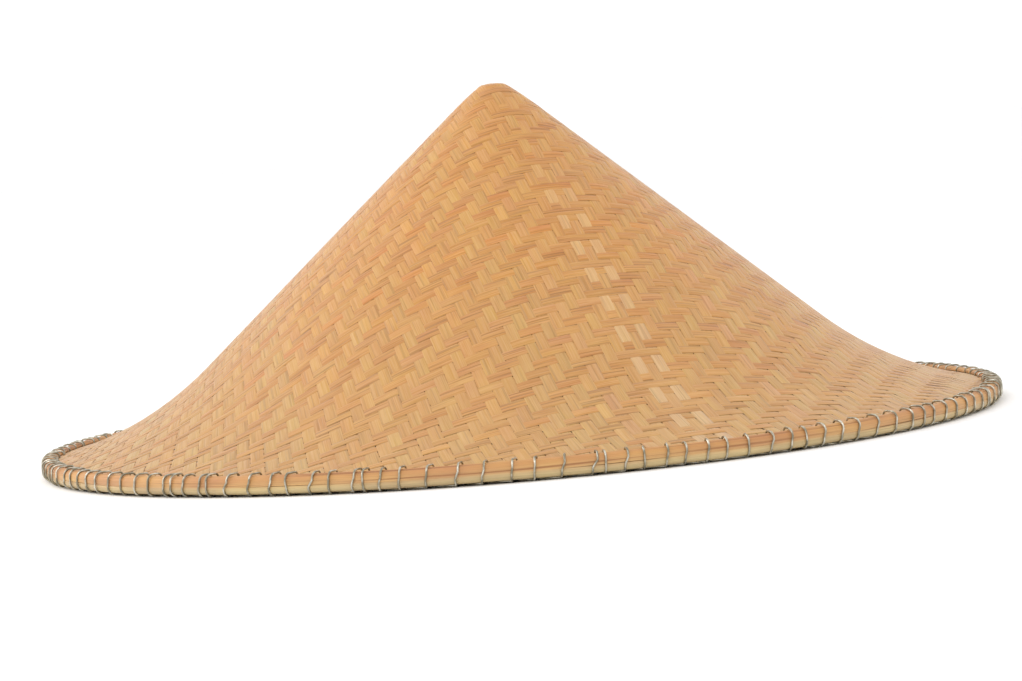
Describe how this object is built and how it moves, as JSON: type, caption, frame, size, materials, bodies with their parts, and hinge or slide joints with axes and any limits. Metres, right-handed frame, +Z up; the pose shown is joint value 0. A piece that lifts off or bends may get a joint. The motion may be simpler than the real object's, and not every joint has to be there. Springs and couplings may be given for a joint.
{
  "type": "conical hat",
  "caption": "Conical sun hat of twill-woven bamboo with a flared brim, a wire-whipped bamboo rim and an inner head band.",
  "frame": {"origin": "middle of the base, level with the underside of the rim's wire turns", "axes": "+Z up along the cone's axis to the tip, -Y to the front"},
  "size_m": [0.4404, 0.4404, 0.1612],
  "materials": {
    "woven_bamboo": "golden tan split bamboo, twill weave, dry satin",
    "dried_leaf": "dried bamboo leaf, matt",
    "plain_splint": "plain split bamboo, matt",
    "core_bamboo": "bamboo wood side with brown grain lines, satin",
    "skin_bamboo": "pale green bamboo skin, smooth satin",
    "galvanised_wire": "dull galvanised wire"
  },
  "bodies": {
    "root": {"outer_weave": "woven_bamboo", "weave_selvedge": "woven_bamboo", "leaf_lining": "dried_leaf", "inner_openwork": "plain_splint", "upper_rim_hoop": "core_bamboo", "lower_rim_hoop": "skin_bamboo", "rim_wire_1": "galvanised_wire", "rim_wire_2": "galvanised_wire", "rim_wire_3": "galvanised_wire", "rim_wire_4": "galvanised_wire", "rim_wire_5": "galvanised_wire", "rim_wire_6": "galvanised_wire", "head_band": "plain_splint", "head_band_top_hoop": "skin_bamboo", "head_band_bottom_hoop": "skin_bamboo", "head_ring_tie_1": "galvanised_wire", "head_ring_tie_2": "galvanised_wire", "head_ring_tie_3": "galvanised_wire", "head_ring_tie_4": "galvanised_wire", "head_ring_tie_5": "galvanised_wire", "head_ring_tie_6": "galvanised_wire"}
  },
  "joints": []
}
